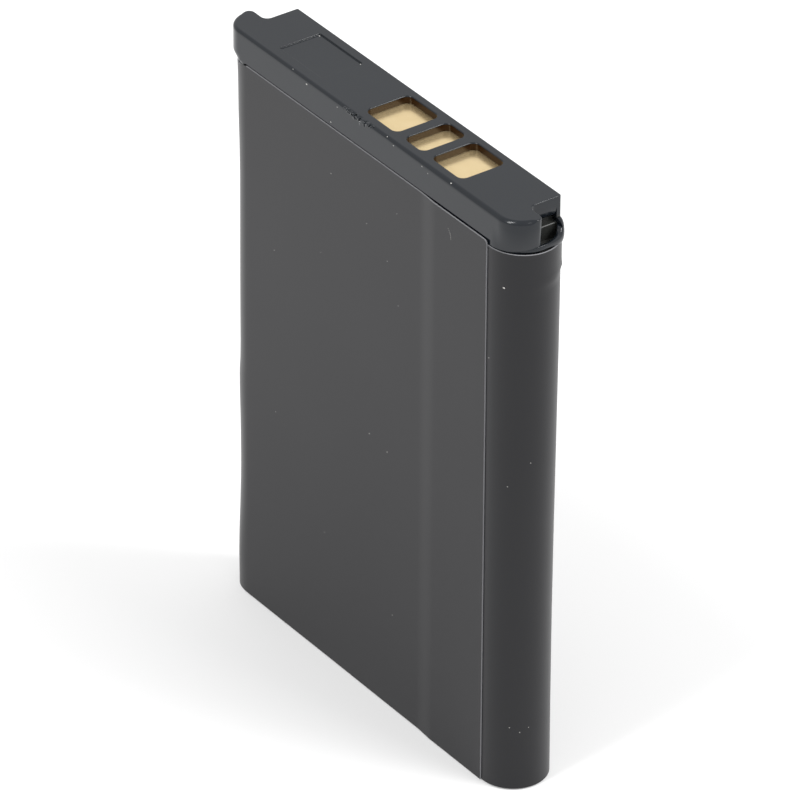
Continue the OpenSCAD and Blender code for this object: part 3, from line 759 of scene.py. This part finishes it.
# Wound sheet
# A black printed polyester film with a pale core, cut to length and wound once round
# the cell. It starts on the front, and its end is glued over the start: that edge is
# the seam. Its cut edges show the core, and it stands a little loose round the ends.
SHEET_THICKNESS = 0.1
SHEET_SLACK = 0.02
SHEET_LIFT = 0.1
SEAM_INSET = 2.6
SHEET_OVERLAP = 6.7
RAMP_BEFORE = 1.0
RAMP_AFTER = 1.0
SEAM_CORNER = 0.3
SEAM_TOLERANCE = 0.001
CUT_SLOPE = 0.01
inner_radius = can_radius + SHEET_SLACK
seam_x = can_high.x - SEAM_INSET
start_x = seam_x - SHEET_OVERLAP
front_y = can_middle - inner_radius
ROW_COUNT = 110
END_STEPS = 44
UNDER, RIGHT_END, BACK, LEFT_END, OVER = range(5)


def winding():
    """Stations along the sheet: inside point, outward direction, and stretch of the sheet."""
    under = np.linspace(start_x + RAMP_AFTER, can_flat, 14)[:-1]
    back = np.linspace(can_flat, -can_flat, 58)[1:-1]
    stations = [(x, front_y, 0, -1, UNDER) for x in under]
    stations += [(*station, RIGHT_END)
                 for station in arc(can_flat, can_middle, inner_radius, -90, 90, END_STEPS)]
    stations += [(x, can_middle + inner_radius, 0, 1, BACK) for x in back]
    stations += [(*station, LEFT_END)
                 for station in arc(-can_flat, can_middle, inner_radius, 90, 270, END_STEPS)]
    flat = list(np.linspace(-can_flat, start_x - RAMP_BEFORE, 44)[1:])
    flat += list(np.linspace(start_x - RAMP_BEFORE, start_x + RAMP_AFTER, 17)[1:])
    flat += list(np.linspace(start_x + RAMP_AFTER, seam_x - SEAM_CORNER, 14)[1:])
    flat += [seam_x - SEAM_CORNER * (1 - math.sin(a)) for a in np.linspace(0, math.pi / 2, 8)[1:]]
    for x in flat:
        lift = SHEET_THICKNESS * ease(x, start_x - RAMP_BEFORE, start_x + RAMP_AFTER)
        stations.append((x, front_y - lift, 0, -1, OVER))
    return stations


def sheet_top(x, y, stretch):
    """Height of the sheet's upper cut edge."""
    if stretch == OVER:
        rounding = max(0, x - (seam_x - SEAM_CORNER))
        return sheet_top_front - SEAM_CORNER + math.sqrt(max(0, SEAM_CORNER ** 2 - rounding ** 2))
    if stretch == LEFT_END:
        return mix(sheet_top_back, sheet_top_front, panel_tail(x, y))
    return sheet_top_back


RIGHT_BULGE = [(0, 0.02), (3, 0.0), (6, -0.02), (14, -0.02), (18, 0.0), (21, 0.02), (24, 0.05),
               (27, 0.09), (30, 0.12), (34, 0.15), (39, 0.18), (44, 0.19)]
LEFT_BULGE = [(0, 0.22), (2.9, 0.24), (4.2, 0.22), (5.4, 0.19), (6.7, 0.14), (7.9, 0.11),
              (9.2, 0.07), (10.4, 0.055), (12.9, 0.065), (14.2, 0.078), (15.4, 0.1), (16.7, 0.12),
              (18, 0.12), (19.2, 0.055), (20.5, 0.033), (25.5, 0.033), (29.2, 0.02), (34.3, 0.0),
              (36.8, 0.025), (39.3, 0.08), (41.8, 0.1), (43.2, 0.14)]
CREASE_DEG = (-60, -20, 10, 30, 54)
CREASE_HEIGHT = (40.6, 40.6, 40.8, 41.0, 41.4)
CREASE_WIDTH = 0.22
BUCKLE_PROUD = 0.07
BUCKLE_RIDGE = 0.05
WAVE_DEPTH = 0.012
WAVE_LENGTH = 9


def looseness(x, y, z, stretch):
    """How far the sheet stands off what it is wound on: it bulges and buckles at its ends."""
    off = WAVE_DEPTH * noise.noise(Vector((x / WAVE_LENGTH, y / WAVE_LENGTH, z / WAVE_LENGTH)))
    if stretch in (RIGHT_END, LEFT_END):
        turn_deg = math.degrees(math.atan2(y - can_middle, abs(x) - can_flat))
        shape, full_deg = (RIGHT_BULGE, 0) if stretch == RIGHT_END else (LEFT_BULGE, -45)
        fade = ease(turn_deg, -90, full_deg) * (1 - ease(turn_deg, 40, 80))
        off += np.interp(z, *zip(*shape)) * fade
        if stretch == RIGHT_END:
            above = z - np.interp(turn_deg, CREASE_DEG, CREASE_HEIGHT)
            ridge = BUCKLE_RIDGE * math.exp(-(above / CREASE_WIDTH) ** 2)
            fade = ease(turn_deg, -45, 30) * (1 - ease(turn_deg, 58, 72))
            off += fade * (BUCKLE_PROUD * ease(above, -0.35, 0.1) + ridge)
    return max(off, -SHEET_SLACK)


stations = winding()
sheet_points = []
for x, y, nx, ny, stretch in stations:
    top = sheet_top(x, y, stretch)
    for row in range(ROW_COUNT + 1):
        z = SHEET_LIFT + (top - SHEET_LIFT) * row / ROW_COUNT
        off = looseness(x, y, z, stretch)
        at_seam = stretch == OVER and x > seam_x - SEAM_TOLERANCE
        slope = CUT_SLOPE * ((row == 0) - (row == ROW_COUNT))
        sheet_points.append((x + nx * off, y + ny * off, z))
        reach = off + SHEET_THICKNESS
        sheet_points.append((x + nx * reach - CUT_SLOPE * at_seam, y + ny * reach, z + slope))
PRINT, CORE = 0, 1
column = 2 * (ROW_COUNT + 1)
sheet_faces, sheet_kinds = [], []
for i in range(len(stations) - 1):
    for row in range(ROW_COUNT):
        a, b = i * column + 2 * row, (i + 1) * column + 2 * row
        sheet_faces += [(a, a + 2, b + 2, b), (a + 1, b + 1, b + 3, a + 3)]
        sheet_kinds += [PRINT, PRINT]
    a, b, top_row = i * column, (i + 1) * column, 2 * ROW_COUNT
    sheet_faces += [(a, b, b + 1, a + 1),
                    (a + top_row, a + top_row + 1, b + top_row + 1, b + top_row)]
    sheet_kinds += [CORE, CORE]
for row in range(ROW_COUNT):
    a, b = 2 * row, (len(stations) - 1) * column + 2 * row
    sheet_faces += [(a, a + 1, a + 3, a + 2), (b, b + 2, b + 3, b + 1)]
    sheet_kinds += [CORE, CORE]

printed_film, tree, shader, place = start_finish(
    "printed_black_film", IOR=1.5, Specular_IOR_Level=BLACK_PLASTIC_SHINE, Roughness=0.34)
cloud = add_node(tree, "ShaderNodeTexNoise", None,
                 {"Vector": place, "Scale": per_metre(9), "Detail": 3.0})
grain = add_node(tree, "ShaderNodeTexNoise", None,
                 {"Vector": place, "Scale": per_metre(0.12), "Detail": 2.0})
tone = add_node(tree, "ShaderNodeMix", {"data_type": "RGBA"},
                {"Factor": cloud.outputs["Fac"], "A": linear("0a0a0e"), "B": linear("0e0e12")})
relief = add_node(tree, "ShaderNodeBump", None,
                  {"Height": grain.outputs["Fac"], "Strength": 1.0, "Distance": 0.0015 * MM})
tree.links.new(tone.outputs["Result"], shader.inputs["Base Color"])
tree.links.new(relief.outputs["Normal"], shader.inputs["Normal"])

film_core = fibrous("cut_film_core", "7f7f82", "8c8c8f", 0.6, 0.3, 2)
sheet = build("wound_sheet", sheet_points, sheet_faces, [printed_film, film_core])
sheet.data.polygons.foreach_set("material_index", sheet_kinds)
soften(sheet)
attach(sheet, "root")
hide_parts("wrapped_sheet")

# Dust
# Pale flecks of lint and skin dust that settled on the pack before it was photographed.
# Each fleck has its place along its face and its size.
FLECKS_FRONT = [(0.6, 21.4, 1.5), (2.7, 21.0, 1.5), (-4.75, 10.4, 1), (-5.2, 33.1, 1),
                (-10.8, 30.5, 1), (-10.7, 17.3, 1), (3.4, 7.9, 1), (6.8, 21.4, 1), (2.6, 36.3, 1),
                (0.2, 38.1, 1), (3.9, 33.4, 1), (-4.0, 40.0, 1), (3.7, 40.6, 1),
                (10.8, 39.3, 1.2), (12.2, 29.2, 1), (10.8, 9.2, 1), (12.2, 17.0, 1),
                (14.3, 34.6, 1)]
FLECKS_END = [(-59.5, 40.55, 2.6), (-16, 26.8, 1), (-50, 24.9, 1), (-42, 5.2, 1), (-26, 4.8, 1),
              (-12, 5.1, 1)]
FLECKS_EDGE = [(-8.64, 0.05, 1.2), (-6.9, 0.37, 2.2), (-3.29, 0.44, 1.4), (2.39, 0.05, 1.2),
               (3.23, 0.31, 1.4), (6.49, 0.33, 1.4), (7.15, 0.56, 1), (9.73, 0.08, 1.8),
               (-4.04, 1.97, 1.6)]
FLECKS_TOP = [(-11.43, -1.72, 1), (-10.77, -1.94, 1), (-4.65, 1.93, 1), (-10.09, 1.98, 1)]
FLECKS_RECESS = [(-11.4, 1.72, 1.8), (-6.6, 1.78, 2.2)]
FIBRE = [(9.7, 42.45), (9.8, 42.36), (9.87, 42.26), (9.93, 42.15), (9.98, 42.03), (10.0, 41.9),
         (10.01, 41.78)]
FLECK_MM = 0.027


def fleck(place_mm, outward, size, seed):
    """Little irregular chip that lies on a surface, as points and faces."""
    shape = bmesh.new()
    bmesh.ops.create_icosphere(shape, subdivisions=1, radius=1)
    turn = Vector(outward).to_track_quat("Z", "Y")
    points = []
    for vertex in shape.verts:
        swell = 1 + 0.6 * noise.noise(vertex.co * 1.5 + Vector((seed * 2.3, 1, 0)))
        local = Vector((vertex.co.x * swell * 1.5, vertex.co.y * swell, vertex.co.z * 0.5))
        points.append(Vector(place_mm) + turn @ (local * FLECK_MM * size))
    faces = [tuple(vertex.index for vertex in face.verts) for face in shape.faces]
    shape.free()
    return points, faces


fleck_places = [((x, front_y - SHEET_THICKNESS, z), (0, -1, 0), size)
                for x, z, size in FLECKS_FRONT]
for turn_deg, z, size in FLECKS_END:
    nx, ny = math.cos(math.radians(turn_deg)), math.sin(math.radians(turn_deg))
    bulge = np.interp(z, *zip(*RIGHT_BULGE)) * ease(turn_deg, -90, 0)
    reach = inner_radius + SHEET_THICKNESS + bulge
    fleck_places.append(((can_flat + nx * reach, can_middle + ny * reach, z), (nx, ny, 0), size))
for x, drop, size in FLECKS_EDGE:
    up = max(0, FRONT_EDGE - drop)
    back = FRONT_EDGE - math.sqrt(FRONT_EDGE ** 2 - up ** 2)
    fleck_places.append(((x, head_front + back, head_top - drop), (0, -1, up / FRONT_EDGE), size))
fleck_places += [((x, y, head_top - FLECK_MM), (0, 0, 1), size) for x, y, size in FLECKS_TOP]
fleck_places += [((x, y, head_top - RECESS_SINK), (0, 0, 1), size)
                 for x, y, size in FLECKS_RECESS]
fleck_places += [((x, front_y - 2 * SHEET_THICKNESS, z), (0, -1, 0), 1) for x, z in FIBRE]
dust_points, dust_faces = [], []
for seed, (place_mm, outward, size) in enumerate(fleck_places):
    points, faces = fleck(place_mm, outward, size, seed)
    dust_faces += [tuple(i + len(dust_points) for i in face) for face in faces]
    dust_points += points
lint = fibrous("settled_lint", "9a9894", "c8c6c2", 0.8, 0.05, 2)
dust = build("settled_dust", dust_points, dust_faces, [lint])
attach(dust, "root")

# Photographer's table
# A seamless pale sweep under soft, even light, as packs are photographed for sale. It is
# seen from above only, so that the pack's base shows from below.
TABLE_HALF_M = 3.0
TABLE_CLEARANCE = 0.02
TABLE_GLOW = 0.2
SKY = 0.91
LAMP_DISTANCE_M = 1.0
table_mesh = bpy.data.meshes.new("table")
table_mesh.from_pydata([(x * TABLE_HALF_M, y * TABLE_HALF_M,
                         cad_box[0][2] - TABLE_CLEARANCE * MM)
                        for x, y in ((-1, -1), (1, -1), (1, 1), (-1, 1))], [], [(0, 1, 2, 3)])
table = bpy.data.objects.new("table", table_mesh)
bpy.context.scene.collection.objects.link(table)
white_acrylic, tree, shader, _ = start_finish("lit_white_acrylic", Base_Color=linear("cccccc"),
                                              Roughness=0.9, Emission_Color=linear("ffffff"),
                                              Emission_Strength=TABLE_GLOW)
clear = add_node(tree, "ShaderNodeBsdfTransparent")
underside = add_node(tree, "ShaderNodeNewGeometry").outputs["Backfacing"]
one_sided = add_node(tree, "ShaderNodeMixShader", None,
                     {0: underside, 1: shader.outputs["BSDF"], 2: clear.outputs["BSDF"]})
tree.links.new(one_sided.outputs["Shader"], tree.nodes["Material Output"].inputs["Surface"])
table_mesh.materials.append(white_acrylic)

world = bpy.data.worlds.new("soft_light")
world.use_nodes = True
sky = world.node_tree.nodes["Background"]
sky.inputs["Color"].default_value = (1, 1, 1, 1)
sky.inputs["Strength"].default_value = SKY
bpy.context.scene.world = world


def softbox(name, direction, width_m, height_m, radiance):
    """Area light in a direction from the pack, aimed at it, of a given radiance."""
    light = bpy.data.lights.new(name, "AREA")
    light.shape = "RECTANGLE"
    light.size, light.size_y = width_m, height_m
    light.energy = radiance * math.pi * width_m * height_m
    lamp = bpy.data.objects.new(name, light)
    lamp.location = Vector(direction).normalized() * LAMP_DISTANCE_M
    lamp.rotation_euler = (-lamp.location).to_track_quat("-Z", "Y").to_euler()
    bpy.context.scene.collection.objects.link(lamp)


softbox("back_softbox", (0.63, 0.45, 0.60), 0.3, 0.4, 7)
softbox("back_lamp", (0.52, 0.32, 0.79), 0.45, 0.15, 20)
softbox("front_softbox", (0.03, -0.66, 0.75), 0.22, 0.7, 12)

# Camera
# A long lens, square to nothing: it looks down on the right end of the front.
CAMERA_PLACE_MM = (389.374, -280.190, 327.635)
CAMERA_AZIMUTH, CAMERA_ELEVATION, CAMERA_ROLL = 54.214, 32.425, 0.33
LENS_MM = 371.07
camera_data = bpy.data.cameras.new("camera")
camera_data.lens = LENS_MM
camera_data.sensor_width = 36
camera_data.clip_start = 0.01
camera = bpy.data.objects.new("camera", camera_data)
camera.matrix_world = (Matrix.Translation(Vector(CAMERA_PLACE_MM) * MM)
                       @ Matrix.Rotation(math.radians(CAMERA_AZIMUTH), 4, "Z")
                       @ Matrix.Rotation(math.radians(90 - CAMERA_ELEVATION), 4, "X")
                       @ Matrix.Rotation(math.radians(CAMERA_ROLL), 4, "Z"))
bpy.context.scene.collection.objects.link(camera)
bpy.context.scene.camera = camera
bpy.context.scene.view_settings.view_transform = "Standard"
